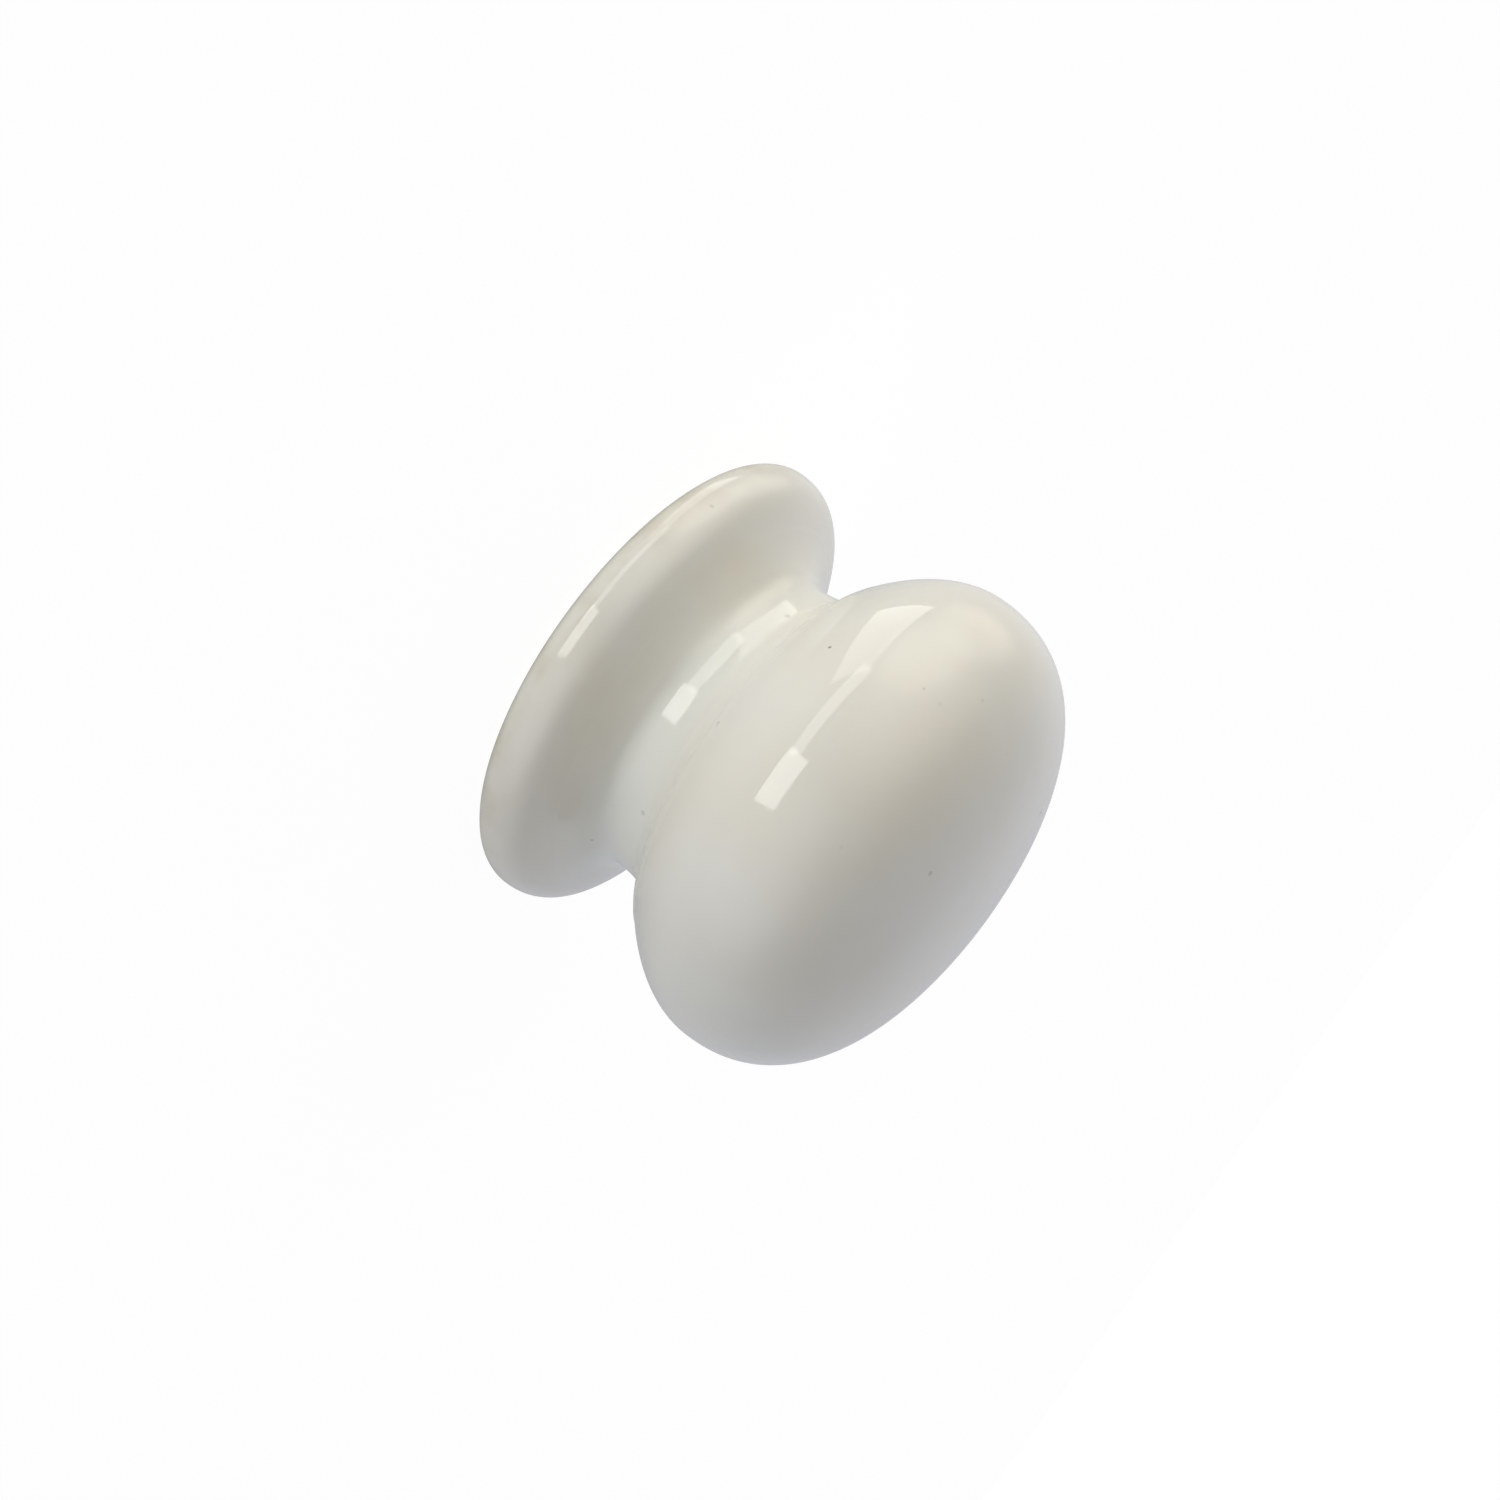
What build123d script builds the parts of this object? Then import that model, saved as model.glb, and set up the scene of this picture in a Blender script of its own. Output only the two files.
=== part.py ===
from build123d import *
from math import cos, radians, sin
import os

# Porcelain knob insulator, millimetres. The knob stands on its flat flange end at Z = 0,
# with its axis on +Z and its closed dome upwards. A threaded bush is cemented into a blind
# socket in the flange end, and the fence wire lies in the groove round the waist.

# Porcelain outline: heights along the axis and radii from it
OVERALL_HEIGHT = 41.0
HEAD_RADIUS = 25.0
HEAD_WIDEST_Z = 26.0
FLANGE_RADIUS = 24.3
RIM_BASE_ROUND_RADIAL = 3.2
RIM_BASE_ROUND_AXIAL = 2.8
WAIST_RADIUS = 16.2
WAIST_Z = 10.9

# Crease where the head's underside starts: its corner, the outline's slope from the axis on
# each side of it in degrees, and how far from the corner its rounding reaches
CREASE_RADIUS = 17.9
CREASE_Z = 15.4
CREASE_SLOPE_BELOW = 42.0
CREASE_SLOPE_ABOVE = 62.0
CREASE_ROUND = 1.5

# How far each outline curve keeps its end direction (Bezier handle lengths)
RIM_HANDLE = 5.8
WAIST_HANDLE_BELOW = 4.8
WAIST_HANDLE_ABOVE = 1.4
CREASE_HANDLE = 0.6
SHOULDER_HANDLE = 5.3
HEAD_HANDLE = 11.8
DOME_HANDLE = 11.7

# Blind socket in the flange end
SOCKET_RADIUS = 7.5
SOCKET_DEPTH = 24.0
SOCKET_END_FILLET = 2.0
SOCKET_MOUTH_FILLET = 1.0

# Threaded bush: M8, its hole drawn at the drilled radius, closed at its upper end
BUSH_RADIUS = 5.5
BUSH_LENGTH = 20.0
BUSH_RECESS = 0.5
BUSH_EDGE_CHAMFER = 0.4
THREAD_HOLE_RADIUS = 3.4
THREAD_HOLE_DEPTH = 16.0
THREAD_LEAD_IN = 0.6
KEY_GROOVE_DEPTH = 0.6
KEY_GROOVE_WIDTH = 1.6
KEY_GROOVE_PITCH = 4.0
KEY_GROOVE_COUNT = 4

# Cement fills the socket round and above the bush, a little below the porcelain's face
CEMENT_RECESS = 0.8


def turned(*outline):
    """Solid made by turning a closed half section, drawn in XZ, once round the Z axis."""
    section = Plane.XZ * make_face(Wire(outline).edges())
    return revolve(section, Axis.Z, 360)


def from_crease(slope, distance):
    """Point of the half section at that distance from the crease's corner."""
    turn = radians(slope)
    return (CREASE_RADIUS + distance * sin(turn), CREASE_Z + distance * cos(turn))


def porcelain_blank():
    """The knob's outer form: flat end, round rim, flange face, waist, crease, shoulder, dome."""
    rim_start = (FLANGE_RADIUS - RIM_BASE_ROUND_RADIAL, 0)
    rim_edge = (FLANGE_RADIUS, RIM_BASE_ROUND_AXIAL)
    waist = (WAIST_RADIUS, WAIST_Z)
    head_edge = (HEAD_RADIUS, HEAD_WIDEST_Z)
    pole = (0, OVERALL_HEIGHT)
    rim_centre = (rim_start[0], rim_edge[1])
    cove_end = from_crease(CREASE_SLOPE_BELOW, -CREASE_ROUND)
    shoulder_start = from_crease(CREASE_SLOPE_ABOVE, CREASE_ROUND)

    flat_end = Line((0, 0), rim_start)
    rim = EllipticalCenterArc(
        rim_centre,
        RIM_BASE_ROUND_RADIAL,
        RIM_BASE_ROUND_AXIAL,
        start_angle=270,
        arc_size=90,
    )
    flange_face = Bezier(
        rim_edge,
        (FLANGE_RADIUS, RIM_BASE_ROUND_AXIAL + RIM_HANDLE),
        (WAIST_RADIUS, WAIST_Z - WAIST_HANDLE_BELOW),
        waist,
    )
    cove = Bezier(
        waist,
        (WAIST_RADIUS, WAIST_Z + WAIST_HANDLE_ABOVE),
        from_crease(CREASE_SLOPE_BELOW, -CREASE_ROUND - CREASE_HANDLE),
        cove_end,
    )
    crease = Bezier(cove_end, (CREASE_RADIUS, CREASE_Z), shoulder_start)
    shoulder = Bezier(
        shoulder_start,
        from_crease(CREASE_SLOPE_ABOVE, CREASE_ROUND + CREASE_HANDLE),
        (HEAD_RADIUS, HEAD_WIDEST_Z - SHOULDER_HANDLE),
        head_edge,
    )
    dome = Bezier(
        head_edge,
        (HEAD_RADIUS, HEAD_WIDEST_Z + HEAD_HANDLE),
        (DOME_HANDLE, OVERALL_HEIGHT),
        pole,
    )
    axis_line = Line(pole, (0, 0))
    return turned(flat_end, rim, flange_face, cove, crease, shoulder, dome, axis_line)


def socket_space():
    """The blind hole's space, with a rounded inner end."""
    space = Pos(0, 0, SOCKET_DEPTH / 2) * Cylinder(SOCKET_RADIUS, SOCKET_DEPTH)
    inner_end = space.edges().sort_by(Axis.Z)[-1]
    return fillet(inner_end, SOCKET_END_FILLET)


def porcelain_body():
    """The glazed knob with its socket, whose mouth edge is rounded."""
    body = porcelain_blank() - socket_space()
    mouth = body.edges().filter_by(GeomType.CIRCLE).filter_by(
        lambda edge: abs(edge.radius - SOCKET_RADIUS) < 0.01 and abs(edge.center().Z) < 0.01
    )
    return fillet(mouth, SOCKET_MOUTH_FILLET)


def bush_blank():
    """The bush's outer form, with key grooves that lock it in the cement."""
    middle_z = BUSH_RECESS + BUSH_LENGTH / 2
    blank = Pos(0, 0, middle_z) * Cylinder(BUSH_RADIUS, BUSH_LENGTH)
    blank = chamfer(blank.edges().filter_by(GeomType.CIRCLE), BUSH_EDGE_CHAMFER)
    first_groove_z = middle_z - KEY_GROOVE_PITCH * (KEY_GROOVE_COUNT - 1) / 2
    groove_floor = BUSH_RADIUS - KEY_GROOVE_DEPTH
    ring = Cylinder(BUSH_RADIUS + 1, KEY_GROOVE_WIDTH) - Cylinder(groove_floor, KEY_GROOVE_WIDTH)
    for number in range(KEY_GROOVE_COUNT):
        blank -= Pos(0, 0, first_groove_z + number * KEY_GROOVE_PITCH) * ring
    return blank


def threaded_bush():
    """The bush with its blind threaded hole and lead-in, opening downwards."""
    hole_middle_z = BUSH_RECESS + THREAD_HOLE_DEPTH / 2
    bush = bush_blank() - Pos(0, 0, hole_middle_z) * Cylinder(THREAD_HOLE_RADIUS, THREAD_HOLE_DEPTH)
    mouth = bush.edges().filter_by(GeomType.CIRCLE).filter_by(
        lambda edge: abs(edge.radius - THREAD_HOLE_RADIUS) < 0.01
    )
    return chamfer(mouth.sort_by(Axis.Z)[0], THREAD_LEAD_IN)


def cement_joint():
    """The cement that fills the socket round and above the bush."""
    fill = socket_space() - Pos(0, 0, CEMENT_RECESS / 2) * Cylinder(SOCKET_RADIUS + 1, CEMENT_RECESS)
    return fill - bush_blank()


NODES = {
    "porcelain_body": porcelain_body,
    "cement_joint": cement_joint,
    "threaded_bush": threaded_bush,
}

os.makedirs("parts", exist_ok=True)
for node_name, make_node in NODES.items():
    export_step(make_node(), f"parts/{node_name}.step")
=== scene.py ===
import math

import bpy
from mathutils import Matrix, Vector, noise


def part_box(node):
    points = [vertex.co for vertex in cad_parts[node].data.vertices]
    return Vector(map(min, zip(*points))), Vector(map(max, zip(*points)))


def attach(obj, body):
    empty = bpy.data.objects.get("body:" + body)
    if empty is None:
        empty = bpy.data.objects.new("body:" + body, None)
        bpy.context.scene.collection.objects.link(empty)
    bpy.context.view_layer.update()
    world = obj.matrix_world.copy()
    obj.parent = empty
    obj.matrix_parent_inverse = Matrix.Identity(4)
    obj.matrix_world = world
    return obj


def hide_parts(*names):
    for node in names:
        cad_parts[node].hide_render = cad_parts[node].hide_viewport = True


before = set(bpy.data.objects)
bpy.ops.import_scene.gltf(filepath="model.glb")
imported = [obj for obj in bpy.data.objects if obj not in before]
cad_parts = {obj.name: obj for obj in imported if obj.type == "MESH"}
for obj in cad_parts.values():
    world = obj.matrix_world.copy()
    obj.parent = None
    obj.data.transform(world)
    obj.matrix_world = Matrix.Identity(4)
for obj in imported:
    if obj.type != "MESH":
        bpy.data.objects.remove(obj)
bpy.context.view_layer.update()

# Looks of a glazed porcelain knob insulator. Metres, row frame: the knob stands on its flat
# flange end at Z = 0 with its dome upwards, and a threaded bush is cemented into the flat end.

MM = 0.001
BODY = "root"

# Outline of the porcelain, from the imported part's box and the knob's own curve handles
_, BODY_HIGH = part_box("porcelain_body")
BUSH_LOW, BUSH_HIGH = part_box("threaded_bush")
CEMENT_LOW, CEMENT_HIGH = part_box("cement_joint")
HEAD_RADIUS = BODY_HIGH.x
OVERALL_HEIGHT = BODY_HIGH.z
HEAD_WIDEST_Z = 26.0 * MM
FLANGE_RADIUS = 24.3 * MM
RIM_BASE_ROUND = (3.2 * MM, 2.8 * MM)
WAIST_RADIUS = 16.2 * MM
WAIST_Z = 10.9 * MM
CREASE_CORNER = (17.9 * MM, 15.4 * MM)
CREASE_SLOPE_BELOW = math.radians(42)
CREASE_SLOPE_ABOVE = math.radians(62)
CREASE_ROUND = 1.5 * MM
RIM_HANDLE = 5.8 * MM
WAIST_HANDLE_BELOW = 4.8 * MM
WAIST_HANDLE_ABOVE = 1.4 * MM
CREASE_HANDLE = 0.6 * MM
SHOULDER_HANDLE = 5.3 * MM
HEAD_HANDLE = 11.8 * MM
DOME_HANDLE = 11.7 * MM

# Blind socket, and the unglazed foot with the glaze's rolled edge round it
SOCKET_RADIUS = CEMENT_HIGH.x
SOCKET_DEPTH = CEMENT_HIGH.z
SOCKET_END_FILLET = 2.0 * MM
SOCKET_MOUTH_FILLET = 1.0 * MM
SOCKET_ZONE_RADIUS = SOCKET_RADIUS + 0.1 * MM
SOCKET_ZONE_HEIGHT = SOCKET_DEPTH + 0.1 * MM
GLAZE_EDGE_RADIUS = 20.3 * MM
GLAZE_EDGE_WIDTH = 0.5 * MM
GLAZE_EDGE_STEP = 0.14 * MM
GLAZE_EDGE_END = 0.2 * GLAZE_EDGE_STEP
GLAZE_EDGE_DIP_RADIUS = GLAZE_EDGE_RADIUS + 0.35 * GLAZE_EDGE_WIDTH
GLAZE_EDGE_HANDLE = 0.1 * MM
GLAZE_DIP_HANDLE = 0.05 * MM
FOOT_ZONE_HEIGHT = 1.0 * MM

# What firing did to the porcelain; all of it goes inwards, so that the size holds
OVALITY = 0.10 * MM
OVALITY_TURN = math.radians(35)
GLAZE_WAVE_DEPTH = 0.035 * MM
GLAZE_WAVE_LENGTH = 7.0 * MM
GLAZE_RIPPLE_DEPTH = 0.006 * MM
GLAZE_RIPPLE_LENGTH = 2.2 * MM
STILL_RADIUS = GLAZE_EDGE_RADIUS
STILL_HEIGHT = SOCKET_DEPTH + MM

# Which part of the smooth noise each kind of wave takes
NOISE_STEP = Vector((1, 2.7, -1.3))
WAVE_SEED = 1
RIPPLE_SEED = 2
GRAIN_SEED = 3
FINE_GRAIN_SEED = 4

# Bush: M8 x 1.25 thread inside, key grooves outside
BUSH_RADIUS = BUSH_HIGH.x
BUSH_EDGE_CHAMFER = 0.4 * MM
THREAD_CREST_RADIUS = 3.4 * MM
THREAD_ROOT_RADIUS = 4.0 * MM
THREAD_PITCH = 1.25 * MM
THREAD_HOLE_DEPTH = 16.0 * MM
THREAD_LEAD_IN = 0.6 * MM
THREAD_FADE = 1.0 * MM
THREAD_FLAT = 0.1
DRILL_CONE_HEIGHT = 1.6 * MM
KEY_GROOVE_DEPTH = 0.6 * MM
KEY_GROOVE_WIDTH = 1.6 * MM
KEY_GROOVE_PITCH = 4.0 * MM
KEY_GROOVE_COUNT = 4

# Cement round the bush, recessed, with a creep up the walls and grains in its face
CEMENT_CREEP = 0.35 * MM
CEMENT_CREEP_AT_WALL = 0.3 * CEMENT_CREEP
CEMENT_CREEP_INSET = 0.5 * MM
CEMENT_GRAIN_DEPTH = 0.16 * MM
CEMENT_GRAIN_LENGTH = 0.7 * MM
CEMENT_FINE_GRAIN_LENGTH = CEMENT_GRAIN_LENGTH / 2.3
CEMENT_FINE_GRAIN_SHARE = 0.5
CEMENT_GAP = 0.01 * MM

# Mesh density: faces round the axis, and faces along each stretch of an outline
BODY_SEGMENTS = 300
CURVE_STEPS = 56
COVE_STEPS = 20
CREASE_STEPS = 16
ROUND_STEPS = 12
SOCKET_END_STEPS = 4
SOCKET_WALL_STEPS = 16
FOOT_STEPS = 20
GLAZE_DIP_STEPS = 5
GLAZE_EDGE_STEPS = 6
CEMENT_SEGMENTS = 144
CEMENT_FACE_STEPS = 12
CEMENT_WALL_STEPS = 10
BUSH_SEGMENTS = 96
BUSH_LEAD_IN_STEPS = 3
BUSH_FACE_STEPS = 4
THREAD_ROWS_PER_PITCH = 12
SHARP_ANGLE = math.radians(40)
TOUCHING = 1e-7

# Camera: low in front of the knob and rolled, so that the axis runs down to the right
LENS_MM = 50.98
SENSOR_MM = 36.0
CAMERA_ELEVATION = math.radians(17.89)
CAMERA_ROLL = math.radians(126.08)
CAMERA_DISTANCE = 200 * MM
AIM_HEIGHT = 20 * MM
AIM_RIGHT = 4.69 * MM
AIM_DOWN = 3.29 * MM
CLIP_NEAR = 10 * MM
CLIP_FAR = 20.0


# ---------------------------------------------------------------- outlines

def cubic(start, handle_a, handle_b, end, steps):
    """Points (radius, height) along a Bezier curve, without its first one."""
    points = []
    for step in range(1, steps + 1):
        t = step / steps
        s = 1 - t
        weights = (s * s * s, 3 * s * s * t, 3 * s * t * t, t * t * t)
        corners = (start, handle_a, handle_b, end)
        points.append(tuple(sum(w * c[k] for w, c in zip(weights, corners)) for k in (0, 1)))
    return points


def conic(start, corner, end, steps):
    """Points along a parabola that rounds a corner, without its first one."""
    handle_a = tuple(s + (c - s) * 2 / 3 for s, c in zip(start, corner))
    handle_b = tuple(e + (c - e) * 2 / 3 for e, c in zip(end, corner))
    return cubic(start, handle_a, handle_b, end, steps)


def round_corner(centre, radii, first_angle, last_angle, steps=ROUND_STEPS):
    """Points of an elliptic arc about centre, both ends included."""
    points = []
    for step in range(steps + 1):
        angle = first_angle + (last_angle - first_angle) * step / steps
        radius = centre[0] + radii[0] * math.cos(angle)
        height = centre[1] + radii[1] * math.sin(angle)
        points.append((radius, height))
    return points


def straight(start, end, steps):
    """Points from start to end, without the first one."""
    shares = [step / steps for step in range(1, steps + 1)]
    return [tuple(s + (e - s) * share for s, e in zip(start, end)) for share in shares]


def socket_outline():
    """From the socket's closed end, on the axis, down its wall and round its mouth."""
    end_round = (SOCKET_RADIUS - SOCKET_END_FILLET, SOCKET_DEPTH - SOCKET_END_FILLET)
    mouth_round = (SOCKET_RADIUS + SOCKET_MOUTH_FILLET, SOCKET_MOUTH_FILLET)
    fillet = (SOCKET_END_FILLET, SOCKET_END_FILLET)
    mouth = (SOCKET_MOUTH_FILLET, SOCKET_MOUTH_FILLET)
    points = [(0, SOCKET_DEPTH)]
    points += straight(points[0], (end_round[0], SOCKET_DEPTH), SOCKET_END_STEPS)[:-1]
    points += round_corner(end_round, fillet, math.pi / 2, 0)
    wall_top = (SOCKET_RADIUS, end_round[1])
    wall_foot = (SOCKET_RADIUS, mouth_round[1])
    points += straight(wall_top, wall_foot, SOCKET_WALL_STEPS)[:-1]
    points += round_corner(mouth_round, mouth, math.pi, math.pi * 1.5)
    return points


def foot_outline(start):
    """Across the unglazed foot from start, then over the small rolled edge of the glaze."""
    edge_in = (GLAZE_EDGE_RADIUS, 0)
    dip = (GLAZE_EDGE_DIP_RADIUS, GLAZE_EDGE_STEP)
    edge_out = (GLAZE_EDGE_RADIUS + GLAZE_EDGE_WIDTH, GLAZE_EDGE_END)
    points = straight(start, edge_in, FOOT_STEPS)
    points += cubic(
        edge_in,
        (dip[0] - GLAZE_EDGE_HANDLE, 0),
        (dip[0] - GLAZE_DIP_HANDLE, dip[1]),
        dip,
        GLAZE_DIP_STEPS,
    )
    points += cubic(
        dip,
        (dip[0] + GLAZE_EDGE_HANDLE, dip[1]),
        (edge_out[0] - GLAZE_EDGE_HANDLE, edge_out[1]),
        edge_out,
        GLAZE_EDGE_STEPS,
    )
    return points


def from_crease(slope, distance):
    """Point at that distance from the crease's corner, along a line at that slope to the axis."""
    radius, height = CREASE_CORNER
    return (radius + distance * math.sin(slope), height + distance * math.cos(slope))


def porcelain_outline():
    """The whole knob's half section, from the socket's end round to the dome's pole."""
    rim_centre = (FLANGE_RADIUS - RIM_BASE_ROUND[0], RIM_BASE_ROUND[1])
    rim_edge = (FLANGE_RADIUS, RIM_BASE_ROUND[1])
    waist = (WAIST_RADIUS, WAIST_Z)
    cove_end = from_crease(CREASE_SLOPE_BELOW, -CREASE_ROUND)
    shoulder_start = from_crease(CREASE_SLOPE_ABOVE, CREASE_ROUND)
    head_edge = (HEAD_RADIUS, HEAD_WIDEST_Z)
    pole = (0, OVERALL_HEIGHT)
    points = socket_outline()
    points += foot_outline(points[-1])
    points += round_corner(rim_centre, RIM_BASE_ROUND, -math.pi / 2, 0, 2 * ROUND_STEPS)
    points += cubic(
        rim_edge,
        (FLANGE_RADIUS, RIM_BASE_ROUND[1] + RIM_HANDLE),
        (WAIST_RADIUS, WAIST_Z - WAIST_HANDLE_BELOW),
        waist,
        CURVE_STEPS,
    )
    points += cubic(
        waist,
        (WAIST_RADIUS, WAIST_Z + WAIST_HANDLE_ABOVE),
        from_crease(CREASE_SLOPE_BELOW, -CREASE_ROUND - CREASE_HANDLE),
        cove_end,
        COVE_STEPS,
    )
    points += conic(cove_end, CREASE_CORNER, shoulder_start, CREASE_STEPS)
    points += cubic(
        shoulder_start,
        from_crease(CREASE_SLOPE_ABOVE, CREASE_ROUND + CREASE_HANDLE),
        (HEAD_RADIUS, HEAD_WIDEST_Z - SHOULDER_HANDLE),
        head_edge,
        CURVE_STEPS,
    )
    points += cubic(
        head_edge,
        (HEAD_RADIUS, HEAD_WIDEST_Z + HEAD_HANDLE),
        (DOME_HANDLE, OVERALL_HEIGHT),
        pole,
        CURVE_STEPS,
    )
    return points


def key_grooves():
    """Heights (low, high) of the bush's key grooves, from the top down."""
    middle = (BUSH_LOW.z + BUSH_HIGH.z) / 2
    first = middle - KEY_GROOVE_PITCH * (KEY_GROOVE_COUNT - 1) / 2
    centres = [first + KEY_GROOVE_PITCH * number for number in range(KEY_GROOVE_COUNT)]
    return [(z - KEY_GROOVE_WIDTH / 2, z + KEY_GROOVE_WIDTH / 2) for z in centres]


def bush_wall(gap):
    """The bush's outer wall from its lower chamfer to its top on the axis, grown by gap."""
    radius = BUSH_RADIUS + gap
    floor = radius - KEY_GROOVE_DEPTH
    points = [(radius, BUSH_LOW.z + BUSH_EDGE_CHAMFER)]
    for low, high in key_grooves():
        points += [(radius, low), (floor, low), (floor, high), (radius, high)]
    points.append((radius, BUSH_HIGH.z - BUSH_EDGE_CHAMFER))
    points.append((radius - BUSH_EDGE_CHAMFER, BUSH_HIGH.z + gap))
    points.append((0, BUSH_HIGH.z + gap))
    return points


def bush_outline():
    """From the threaded hole's drilled end out of its mouth and round the bush to its top."""
    hole_end = BUSH_LOW.z + THREAD_HOLE_DEPTH
    rows = round(THREAD_HOLE_DEPTH / THREAD_PITCH * THREAD_ROWS_PER_PITCH)
    lead_in = (THREAD_CREST_RADIUS, BUSH_LOW.z + THREAD_LEAD_IN)
    mouth = (THREAD_CREST_RADIUS + THREAD_LEAD_IN, BUSH_LOW.z)
    face_edge = (BUSH_RADIUS - BUSH_EDGE_CHAMFER, BUSH_LOW.z)
    points = [(0, hole_end + DRILL_CONE_HEIGHT), (THREAD_CREST_RADIUS, hole_end)]
    points += straight(points[-1], lead_in, rows)
    points += straight(lead_in, mouth, BUSH_LEAD_IN_STEPS)
    points += straight(mouth, face_edge, BUSH_FACE_STEPS)
    return points + bush_wall(0)


def cement_outline():
    """From the bush's covered top down its wall, over the cement's face and up the socket."""
    wall = bush_wall(CEMENT_GAP)[::-1]
    edge_height = CEMENT_LOW.z + CEMENT_CREEP_AT_WALL
    middle_height = CEMENT_LOW.z + CEMENT_CREEP
    start = (wall[-1][0], edge_height)
    end = (SOCKET_RADIUS - CEMENT_GAP, edge_height)
    face = cubic(
        start,
        (start[0] + CEMENT_CREEP_INSET, middle_height),
        (end[0] - CEMENT_CREEP_INSET, middle_height),
        end,
        CEMENT_FACE_STEPS,
    )
    fillet_centre = (SOCKET_RADIUS - SOCKET_END_FILLET, SOCKET_DEPTH - SOCKET_END_FILLET)
    fillet = (SOCKET_END_FILLET - CEMENT_GAP, SOCKET_END_FILLET - CEMENT_GAP)
    points = [p for p in wall if p[1] > start[1]] + [start] + face
    points += straight(end, (end[0], fillet_centre[1]), CEMENT_WALL_STEPS)[:-1]
    points += round_corner(fillet_centre, fillet, 0, math.pi / 2)
    return points + [(0, SOCKET_DEPTH - CEMENT_GAP)]


# ---------------------------------------------------------------- meshes

def lathe(name, outline, segments, place):
    """Closed mesh turned from an outline whose two ends lie on the axis.

    place(radius, height, angle) says where a point of the outline goes at that angle.
    """
    rows = outline[1:-1]
    vertices = [place(*outline[0], 0)]
    for radius, height in rows:
        vertices += [place(radius, height, math.tau * k / segments) for k in range(segments)]
    vertices.append(place(*outline[-1], 0))
    last = len(vertices) - 1
    faces = []
    for k in range(segments):
        following = (k + 1) % segments
        faces.append((0, 1 + following, 1 + k))
        for row in range(len(rows) - 1):
            lower = 1 + row * segments
            upper = lower + segments
            faces.append((lower + k, lower + following, upper + following, upper + k))
        end_row = 1 + (len(rows) - 1) * segments
        faces.append((end_row + k, end_row + following, last))
    mesh = bpy.data.meshes.new(name)
    mesh.from_pydata(vertices, [], faces)
    mesh.validate()
    mesh.shade_smooth()
    piece = bpy.data.objects.new(name, mesh)
    bpy.context.scene.collection.objects.link(piece)
    return piece


def at_angle(radius, height, angle):
    """A turned point in row coordinates."""
    return Vector((radius * math.cos(angle), radius * math.sin(angle), height))


def waves(point, length, seed):
    """Smooth noise from 0 to 1, with bumps about that long."""
    value = noise.noise(point / length + NOISE_STEP * seed)
    return min(max(0.5 + 0.5 * value, 0), 1)


def fired_place(radius, height, angle):
    """A point of the porcelain, drawn in a little by ovality and by the glaze's waves.

    The foot, the socket and the groove, all nearer the axis than the glaze's edge, stay still.
    """
    point = at_angle(radius, height, angle)
    if radius < STILL_RADIUS and height < STILL_HEIGHT:
        return point
    oval_share = 0.5 + 0.5 * math.cos(2 * (angle + OVALITY_TURN))
    out_of_round = OVALITY * oval_share * radius / HEAD_RADIUS
    dip = GLAZE_WAVE_DEPTH * waves(point, GLAZE_WAVE_LENGTH, WAVE_SEED)
    dip += GLAZE_RIPPLE_DEPTH * waves(point, GLAZE_RIPPLE_LENGTH, RIPPLE_SEED)
    middle = Vector((0, 0, min(max(height, RIM_BASE_ROUND[1]), HEAD_WIDEST_Z)))
    inwards = (middle - point).normalized()
    if height < RIM_BASE_ROUND[1]:
        inwards = Vector((inwards.x, inwards.y, max(inwards.z, 0)))
    sideways = Vector((point.x, point.y, 0))
    if sideways.length > 0:
        point = point - sideways.normalized() * min(out_of_round, radius)
    return point + inwards * dip


def threaded_place(radius, height, angle):
    """A point of the bush; its bore gets a right-hand helical thread that fades at its inner end."""
    hole_end = BUSH_LOW.z + THREAD_HOLE_DEPTH
    on_wall = abs(radius - THREAD_CREST_RADIUS) < TOUCHING
    if not on_wall or height >= hole_end + TOUCHING:
        return at_angle(radius, height, angle)
    phase = (height / THREAD_PITCH - angle / math.tau) % 1
    groove = 1 - abs(2 * phase - 1)
    cut = min(1, max(0, (groove - THREAD_FLAT) / (1 - 2 * THREAD_FLAT)))
    fade = min(1, max(0, (hole_end - height) / THREAD_FADE))
    depth = (THREAD_ROOT_RADIUS - THREAD_CREST_RADIUS) * fade * cut
    return at_angle(radius + depth, height, angle)


def grainy_place(radius, height, angle):
    """A point of the cement; grains stand up and down in its lower face."""
    point = at_angle(radius, height, angle)
    off_walls = BUSH_RADIUS + 2 * CEMENT_GAP < radius < SOCKET_RADIUS - 2 * CEMENT_GAP
    if off_walls and height < CEMENT_LOW.z + CEMENT_CREEP:
        coarse = waves(point, CEMENT_GRAIN_LENGTH, GRAIN_SEED)
        fine = waves(point, CEMENT_FINE_GRAIN_LENGTH, FINE_GRAIN_SEED)
        point.z += CEMENT_GRAIN_DEPTH * (coarse + CEMENT_FINE_GRAIN_SHARE * fine)
    return point


def mark_bare_foot(piece):
    """Gives the faces that carry no glaze, the foot and the socket, the second material."""
    for face in piece.data.polygons:
        radius = math.hypot(face.center.x, face.center.y)
        on_foot = radius < GLAZE_EDGE_DIP_RADIUS and face.center.z < FOOT_ZONE_HEIGHT
        in_socket = radius < SOCKET_ZONE_RADIUS and face.center.z < SOCKET_ZONE_HEIGHT
        face.material_index = 1 if on_foot or in_socket else 0


# ---------------------------------------------------------------- material nodes

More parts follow.
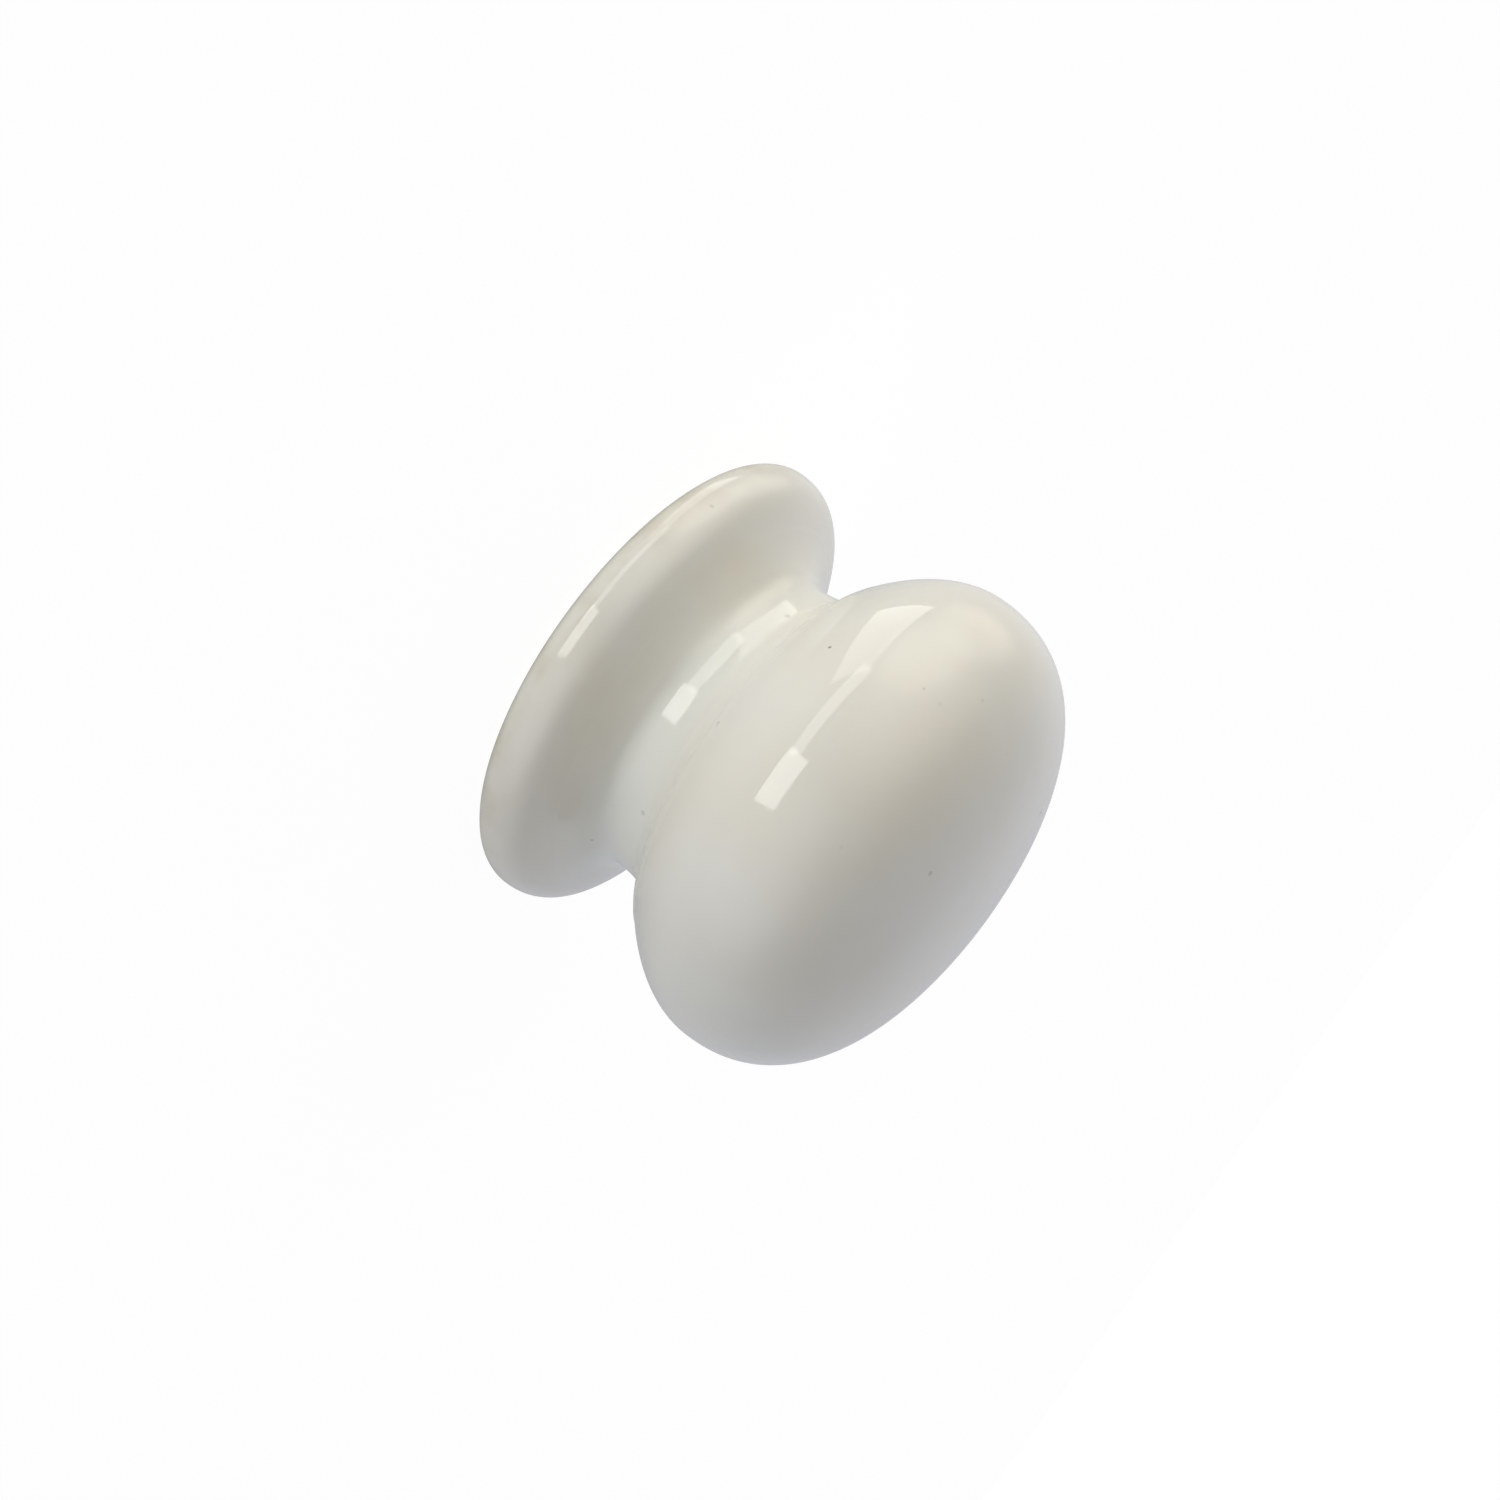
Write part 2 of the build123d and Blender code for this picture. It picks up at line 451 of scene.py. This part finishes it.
def new_material(name, roughness, metallic=0.0):
    """A node material, its nodes and its shader, with the constants that all share."""
    material = bpy.data.materials.new(name)
    material.use_nodes = True
    shader = material.node_tree.nodes["Principled BSDF"]
    shader.inputs["Roughness"].default_value = roughness
    shader.inputs["Metallic"].default_value = metallic
    return material, material.node_tree, shader


def add_node(tree, kind, settings=None, **inputs):
    """A node with its settings, and its inputs set or linked by name (spaces as underscores)."""
    node = tree.nodes.new(kind)
    for key, value in (settings or {}).items():
        setattr(node, key, value)
    for key, value in inputs.items():
        socket = node.inputs[int(key[1:])] if key[1:].isdigit() else node.inputs[key.replace("_", " ")]
        if isinstance(value, bpy.types.NodeSocket):
            tree.links.new(value, socket)
        else:
            socket.default_value = value
    return node


def object_coordinates(tree):
    return add_node(tree, "ShaderNodeTexCoord").outputs["Object"]


def noise_of_size(tree, coordinates, length, detail=2.0, roughness=0.5):
    """Fractal noise, about 0.5 in the mean, whose largest bumps are about length long."""
    node = add_node(tree, "ShaderNodeTexNoise", Vector=coordinates, Scale=1 / length,
                    Detail=detail, Roughness=roughness)
    return node.outputs["Fac"]


def ramp(tree, value, low, high, to_low=0.0, to_high=1.0):
    """Smooth step of value from low..high to to_low..to_high."""
    settings = {"interpolation_type": "SMOOTHSTEP"}
    node = add_node(tree, "ShaderNodeMapRange", settings, Value=value, From_Min=low, From_Max=high,
                    To_Min=to_low, To_Max=to_high)
    return node.outputs["Result"]


def maths(tree, operation, first, second=0.0):
    node = add_node(tree, "ShaderNodeMath", {"operation": operation}, _0=first, _1=second)
    return node.outputs["Value"]


def blend_colours(tree, amount, first, second):
    """Colour mix; each colour is a socket or an (r, g, b)."""
    colours = [c if isinstance(c, bpy.types.NodeSocket) else (*c, 1) for c in (first, second)]
    node = add_node(tree, "ShaderNodeMix", {"data_type": "RGBA"}, _0=amount, _6=colours[0], _7=colours[1])
    return node.outputs[2]


def bump(tree, height, depth, normal=None):
    """Bump whose height runs over 0..1 for that depth in metres."""
    node = add_node(tree, "ShaderNodeBump", Height=height, Distance=depth, Strength=1.0)
    if normal is not None:
        tree.links.new(normal, node.inputs["Normal"])
    return node.outputs["Normal"]


def sparse_spots(tree, coordinates, cell, radius, share):
    """Soft round spots of that radius, in that share of the cells of a Voronoi pattern."""
    cells = add_node(tree, "ShaderNodeTexVoronoi", Vector=coordinates, Scale=1 / cell)
    spot = ramp(tree, cells.outputs["Distance"], 0.4 * radius / cell, radius / cell, 1, 0)
    pick = add_node(tree, "ShaderNodeSeparateColor", Color=cells.outputs["Color"])
    strength = ramp(tree, pick.outputs["Red"], 1 - share, 1, 0, 1)
    return maths(tree, "MULTIPLY", spot, strength)


# ---------------------------------------------------------------- materials

# Glaze: colours, then sizes, places and strengths of what varies in it
GLAZE_WHITE = (0.80, 0.795, 0.765)
GLAZE_CREAM = (0.79, 0.77, 0.715)
GLAZE_POOL = (0.775, 0.79, 0.765)
THIN_GLAZE = (0.63, 0.595, 0.52)
IRON_SPECK = (0.27, 0.24, 0.19)
PINHOLE = (0.45, 0.44, 0.40)
DRIFT_LENGTH = 16 * MM
POOL_LOW_Z = 7 * MM
POOL_HIGH_Z = 17 * MM
POOL_STRENGTH = 0.7
RIM_PATCH_LENGTH = 5 * MM
RIM_TINT_LOW_Z = 1.4 * MM
RIM_TINT_HIGH_Z = 5.4 * MM
RIM_TINT_STRENGTH = 0.8
PINHOLE_CELL = 3.6 * MM
PINHOLE_RADIUS = 0.30 * MM
PINHOLE_SHARE = 0.65
PINHOLE_STRENGTH = 0.55
PINHOLE_ROUGHNESS = 0.3
PINHOLE_DEPTH = 0.05 * MM
SPECK_CELL = 5.2 * MM
SPECK_RADIUS = 0.22 * MM
SPECK_SHARE = 0.65
SPECK_STRENGTH = 0.9
SMEAR_LENGTH = 9 * MM
SMOOTHEST_GLAZE = 0.045
ROUGHEST_GLAZE = 0.095
ORANGE_PEEL_LENGTH = 1.6 * MM
ORANGE_PEEL_DEPTH = 0.0018 * MM
GLAZE_IOR = 1.52
GLAZE_DEPTH_COLOUR = (1.0, 0.85, 0.7)
GLAZE_DEPTH = 1.2 * MM
GLAZE_DEPTH_SHARE = 0.12

# Unglazed porcelain
BISCUIT = (0.74, 0.72, 0.67)
BISCUIT_STAIN = (0.62, 0.56, 0.47)
BISCUIT_GRIT = (0.33, 0.29, 0.24)
BISCUIT_STAIN_LENGTH = 6 * MM
BISCUIT_GRIT_CELL = 1.1 * MM
BISCUIT_GRIT_RADIUS = 0.18 * MM
BISCUIT_GRAIN_LENGTH = 0.5 * MM
BISCUIT_GRAIN_DEPTH = 0.03 * MM

# Cement
CEMENT_GREY = (0.36, 0.35, 0.32)
LIME_BLOOM = (0.52, 0.51, 0.47)
SAND_PORE = (0.21, 0.19, 0.16)
LIME_BLOOM_LENGTH = 2.5 * MM
SAND_PORE_CELL = 0.7 * MM
SAND_PORE_RADIUS = 0.22 * MM
SAND_LENGTH = 0.35 * MM
SAND_DEPTH = 0.12 * MM

# Zinc-plated steel
ZINC_BRIGHT = (0.66, 0.67, 0.68)
ZINC_DULL = (0.50, 0.50, 0.49)
RUST = (0.34, 0.22, 0.13)
DULL_SPOT_LENGTH = 1.8 * MM
RUST_LENGTH = 0.9 * MM
TURNING_MARK_LENGTH = 0.12 * MM
TURNING_MARK_DEPTH = 0.01 * MM


def glaze_colour(tree, coordinates):
    """Off-white, creamier in drifts, greener where glaze pools, tan where it is thin on the rim."""
    drifts = noise_of_size(tree, coordinates, DRIFT_LENGTH, 3)
    colour = blend_colours(tree, ramp(tree, drifts, 0.38, 0.66), GLAZE_WHITE, GLAZE_CREAM)
    height = add_node(tree, "ShaderNodeSeparateXYZ", Vector=coordinates).outputs["Z"]
    above = ramp(tree, height, POOL_LOW_Z, WAIST_Z)
    below = ramp(tree, height, WAIST_Z, POOL_HIGH_Z, 1, 0)
    pooled = maths(tree, "MULTIPLY", maths(tree, "MULTIPLY", above, below), POOL_STRENGTH)
    colour = blend_colours(tree, pooled, colour, GLAZE_POOL)
    patches = noise_of_size(tree, coordinates, RIM_PATCH_LENGTH, 3)
    patchy = ramp(tree, patches, 0.38, 0.70, 0.35, 1.0)
    on_rim = ramp(tree, height, RIM_TINT_LOW_Z, RIM_TINT_HIGH_Z, RIM_TINT_STRENGTH, 0)
    return blend_colours(tree, maths(tree, "MULTIPLY", patchy, on_rim), colour, THIN_GLAZE)


def glaze_material():
    """Clear gloss glaze over porcelain: drifts of colour, specks, pinholes, slight waves."""
    material, tree, shader = new_material("glazed_porcelain", 0.06)
    shader.inputs["IOR"].default_value = GLAZE_IOR
    shader.inputs["Subsurface Weight"].default_value = GLAZE_DEPTH_SHARE
    shader.inputs["Subsurface Radius"].default_value = GLAZE_DEPTH_COLOUR
    shader.inputs["Subsurface Scale"].default_value = GLAZE_DEPTH
    coordinates = object_coordinates(tree)
    pinholes = sparse_spots(tree, coordinates, PINHOLE_CELL, PINHOLE_RADIUS, PINHOLE_SHARE)
    specks = sparse_spots(tree, coordinates, SPECK_CELL, SPECK_RADIUS, SPECK_SHARE)
    colour = glaze_colour(tree, coordinates)
    pinhole_mark = maths(tree, "MULTIPLY", pinholes, PINHOLE_STRENGTH)
    colour = blend_colours(tree, pinhole_mark, colour, PINHOLE)
    speck_mark = maths(tree, "MULTIPLY", specks, SPECK_STRENGTH)
    colour = blend_colours(tree, speck_mark, colour, IRON_SPECK)
    tree.links.new(colour, shader.inputs["Base Color"])
    smears = noise_of_size(tree, coordinates, SMEAR_LENGTH, 4, 0.6)
    smooth = ramp(tree, smears, 0.35, 0.7, SMOOTHEST_GLAZE, ROUGHEST_GLAZE)
    rough = maths(tree, "ADD", smooth, maths(tree, "MULTIPLY", pinholes, PINHOLE_ROUGHNESS))
    tree.links.new(rough, shader.inputs["Roughness"])
    peel = noise_of_size(tree, coordinates, ORANGE_PEEL_LENGTH, 2)
    orange_peel = bump(tree, peel, ORANGE_PEEL_DEPTH)
    pits = bump(tree, maths(tree, "SUBTRACT", 1, pinholes), PINHOLE_DEPTH, orange_peel)
    tree.links.new(pits, shader.inputs["Normal"])
    return material


def biscuit_material():
    """Unglazed porcelain: matt, chalky, with grit and kiln-shelf stains."""
    material, tree, shader = new_material("bare_porcelain", 0.85)
    shader.inputs["Specular IOR Level"].default_value = 0.25
    coordinates = object_coordinates(tree)
    stains = ramp(tree, noise_of_size(tree, coordinates, BISCUIT_STAIN_LENGTH, 4, 0.6), 0.45, 0.75)
    colour = blend_colours(tree, stains, BISCUIT, BISCUIT_STAIN)
    grit = sparse_spots(tree, coordinates, BISCUIT_GRIT_CELL, BISCUIT_GRIT_RADIUS, 0.5)
    colour = blend_colours(tree, maths(tree, "MULTIPLY", grit, 0.7), colour, BISCUIT_GRIT)
    tree.links.new(colour, shader.inputs["Base Color"])
    grain = noise_of_size(tree, coordinates, BISCUIT_GRAIN_LENGTH, 4, 0.7)
    tree.links.new(ramp(tree, grain, 0.3, 0.7, 0.75, 0.95), shader.inputs["Roughness"])
    tree.links.new(bump(tree, grain, BISCUIT_GRAIN_DEPTH), shader.inputs["Normal"])
    return material


def cement_material():
    """Portland cement: grey, sandy, with pale lime bloom and open pores."""
    material, tree, shader = new_material("cement", 0.9)
    shader.inputs["Specular IOR Level"].default_value = 0.2
    coordinates = object_coordinates(tree)
    bloom = ramp(tree, noise_of_size(tree, coordinates, LIME_BLOOM_LENGTH, 4, 0.65), 0.42, 0.72)
    colour = blend_colours(tree, bloom, CEMENT_GREY, LIME_BLOOM)
    sand = sparse_spots(tree, coordinates, SAND_PORE_CELL, SAND_PORE_RADIUS, 0.7)
    colour = blend_colours(tree, maths(tree, "MULTIPLY", sand, 0.8), colour, SAND_PORE)
    tree.links.new(colour, shader.inputs["Base Color"])
    grain = noise_of_size(tree, coordinates, SAND_LENGTH, 5, 0.75)
    tree.links.new(ramp(tree, grain, 0.3, 0.7, 0.8, 0.98), shader.inputs["Roughness"])
    tree.links.new(bump(tree, grain, SAND_DEPTH), shader.inputs["Normal"])
    return material


def steel_material():
    """Zinc-plated steel: turning marks round the axis, dull spots, rust starting in places."""
    material, tree, shader = new_material("plated_steel", 0.35, 1.0)
    coordinates = object_coordinates(tree)
    parts = add_node(tree, "ShaderNodeSeparateXYZ", Vector=coordinates)
    squares = [maths(tree, "MULTIPLY", parts.outputs[axis], parts.outputs[axis]) for axis in "XY"]
    radius = maths(tree, "SQRT", maths(tree, "ADD", *squares))
    rings = add_node(tree, "ShaderNodeTexNoise", {"noise_dimensions": "1D"}, W=radius,
                     Scale=1 / TURNING_MARK_LENGTH, Detail=3.0).outputs["Fac"]
    dull = ramp(tree, noise_of_size(tree, coordinates, DULL_SPOT_LENGTH, 4, 0.6), 0.4, 0.7)
    colour = blend_colours(tree, dull, ZINC_BRIGHT, ZINC_DULL)
    rust = ramp(tree, noise_of_size(tree, coordinates, RUST_LENGTH, 5, 0.7), 0.62, 0.76, 0, 0.6)
    colour = blend_colours(tree, rust, colour, RUST)
    tree.links.new(colour, shader.inputs["Base Color"])
    turned = ramp(tree, rings, 0.3, 0.7, 0.24, 0.38)
    rough = maths(tree, "ADD", turned, maths(tree, "MULTIPLY", rust, 0.5))
    tree.links.new(rough, shader.inputs["Roughness"])
    tree.links.new(bump(tree, rings, TURNING_MARK_DEPTH), shader.inputs["Normal"])
    return material


# ---------------------------------------------------------------- pieces

def make_porcelain():
    piece = lathe("porcelain_knob", porcelain_outline(), BODY_SEGMENTS, fired_place)
    piece.data.materials.append(glaze_material())
    piece.data.materials.append(biscuit_material())
    mark_bare_foot(piece)
    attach(piece, BODY)
    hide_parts("porcelain_body")


def make_cement():
    piece = lathe("cement_fill", cement_outline(), CEMENT_SEGMENTS, grainy_place)
    piece.data.set_sharp_from_angle(angle=SHARP_ANGLE)
    piece.data.materials.append(cement_material())
    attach(piece, BODY)
    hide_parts("cement_joint")


def make_bush():
    piece = lathe("m8_bush", bush_outline(), BUSH_SEGMENTS, threaded_place)
    piece.data.set_sharp_from_angle(angle=SHARP_ANGLE)
    piece.data.materials.append(steel_material())
    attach(piece, BODY)
    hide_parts("threaded_bush")


# ---------------------------------------------------------------- floor, light and camera

FLOOR_HALF = 3.0
FLOOR_GLOW = 0.93
FLOOR_ALBEDO = 0.12
PLAIN_WHITE = (1.0, 1.0, 1.0)

# Soft lamps round the knob: name, azimuth, elevation, width and height in degrees, radiance,
# colour. Azimuth 0 is in front of the knob, -Y, and 90 is +X.
WINDOW_DISTANCE = 1.0
WINDOWS = (
    ("window", 3, -22.5, 24, 24, 4.2, (1.0, 1.0, 0.97)),
    ("strip", -34, -27, 46, 13, 2.2, (1.0, 1.0, 0.94)),
    ("pane", -84, -37, 50, 24, 1.7, (1.0, 1.0, 0.93)),
)


def make_floor():
    """White table at Z = 0. Only the camera sees it, so light reaches the knob from all sides."""
    h = FLOOR_HALF
    corners = [(-h, -h, 0), (h, -h, 0), (h, h, 0), (-h, h, 0)]
    mesh = bpy.data.meshes.new("floor")
    mesh.from_pydata(corners, [], [(0, 1, 2, 3)])
    floor = bpy.data.objects.new("floor", mesh)
    bpy.context.scene.collection.objects.link(floor)
    material = bpy.data.materials.new("white_table")
    material.use_nodes = True
    tree = material.node_tree
    tree.nodes.remove(tree.nodes["Principled BSDF"])
    glow = add_node(tree, "ShaderNodeEmission", Color=(*PLAIN_WHITE, 1), Strength=FLOOR_GLOW)
    matt = add_node(tree, "ShaderNodeBsdfDiffuse", Color=(FLOOR_ALBEDO,) * 3 + (1,))
    both = add_node(tree, "ShaderNodeAddShader", _0=glow.outputs[0], _1=matt.outputs[0])
    seen_below = add_node(tree, "ShaderNodeNewGeometry").outputs["Backfacing"]
    clear = add_node(tree, "ShaderNodeBsdfTransparent")
    top = add_node(tree, "ShaderNodeMixShader", _0=seen_below, _1=both.outputs[0], _2=clear.outputs[0])
    tree.links.new(top.outputs[0], tree.nodes["Material Output"].inputs["Surface"])
    mesh.materials.append(material)
    floor.visible_diffuse = False
    floor.visible_glossy = False
    floor.visible_transmission = False
    floor.visible_shadow = False


def direction(azimuth, elevation):
    """Unit vector towards a light; azimuth 0 is in front of the knob, -Y, and 90 is +X."""
    a = math.radians(azimuth)
    e = math.radians(elevation)
    return Vector((math.sin(a) * math.cos(e), -math.cos(a) * math.cos(e), math.sin(e)))


def make_window(name, azimuth, elevation, width, height, radiance, colour):
    """Rectangular area light that faces the knob."""
    light = bpy.data.lights.new(name, "AREA")
    light.shape = "RECTANGLE"
    light.size = 2 * WINDOW_DISTANCE * math.tan(math.radians(width / 2))
    light.size_y = 2 * WINDOW_DISTANCE * math.tan(math.radians(height / 2))
    light.energy = radiance * math.pi * light.size * light.size_y
    light.color = colour
    lamp = bpy.data.objects.new(name, light)
    bpy.context.scene.collection.objects.link(lamp)
    towards = direction(azimuth, elevation)
    lamp.location = Vector((0, 0, AIM_HEIGHT)) + towards * WINDOW_DISTANCE
    lamp.rotation_mode = "QUATERNION"
    lamp.rotation_quaternion = towards.to_track_quat("Z", "Y")
    lamp.visible_camera = False


# Wide soft lobes of light all round: azimuth, elevation, half width in degrees, colour
SKY_LOBES = (
    (-60, 20, 50, (0.92, 0.87, 0.74)),
    (40, 0, 50, (0.69, 0.69, 0.69)),
    (180, 25, 90, (0.60, 0.61, 0.65)),
    (60, -35, 90, (0.37, 0.37, 0.36)),
    (-130, -11, 50, (0.33, 0.32, 0.31)),
    (-169, 47, 50, (0.27, 0.28, 0.30)),
    (-78, -4, 30, (1.40, 1.32, 1.13)),
    (-110, 0, 24, (0.95, 0.89, 0.74)),
    (-60, -75, 50, (0.20, 0.19, 0.16)),
    (125, 8, 50, (0.14, 0.16, 0.19)),
)


def make_world():
    """Soft surroundings made of wide soft lobes of light; the camera sees plain white."""
    world = bpy.data.worlds.new("soft_room")
    bpy.context.scene.world = world
    world.use_nodes = True
    tree = world.node_tree
    ray = add_node(tree, "ShaderNodeTexCoord").outputs["Generated"]
    total = (0.0, 0.0, 0.0)
    for azimuth, elevation, half_width, colour in SKY_LOBES:
        facing = add_node(tree, "ShaderNodeVectorMath", {"operation": "DOT_PRODUCT"},
                          _0=ray, _1=direction(azimuth, elevation)).outputs["Value"]
        amount = ramp(tree, facing, math.cos(math.radians(half_width)), 1.0)
        lobe = add_node(tree, "ShaderNodeVectorMath", {"operation": "SCALE"}, _0=colour, Scale=amount)
        total = add_node(tree, "ShaderNodeVectorMath", {"operation": "ADD"},
                         _0=total, _1=lobe.outputs[0]).outputs[0]
    seen = add_node(tree, "ShaderNodeLightPath").outputs["Is Camera Ray"]
    colour = blend_colours(tree, seen, total, PLAIN_WHITE)
    tree.links.new(colour, tree.nodes["Background"].inputs["Color"])


def make_lights():
    for window in WINDOWS:
        make_window(*window)


def make_camera():
    forward = Vector((0, math.cos(CAMERA_ELEVATION), -math.sin(CAMERA_ELEVATION)))
    level_right = Vector((1, 0, 0))
    level_up = Vector((0, math.sin(CAMERA_ELEVATION), math.cos(CAMERA_ELEVATION)))
    right = level_right * math.cos(CAMERA_ROLL) + level_up * math.sin(CAMERA_ROLL)
    up = level_up * math.cos(CAMERA_ROLL) - level_right * math.sin(CAMERA_ROLL)
    data = bpy.data.cameras.new("camera")
    data.lens = LENS_MM
    data.sensor_width = SENSOR_MM
    data.clip_start = CLIP_NEAR
    data.clip_end = CLIP_FAR
    camera = bpy.data.objects.new("camera", data)
    bpy.context.scene.collection.objects.link(camera)
    aim = Vector((0, 0, AIM_HEIGHT)) - right * AIM_RIGHT + up * AIM_DOWN
    place = aim - forward * CAMERA_DISTANCE
    turn = Matrix((right, up, -forward)).transposed()
    camera.matrix_world = Matrix.Translation(place) @ turn.to_4x4()
    bpy.context.scene.camera = camera


make_porcelain()
make_cement()
make_bush()
make_floor()
make_world()
make_lights()
make_camera()
bpy.context.scene.view_settings.view_transform = "Standard"
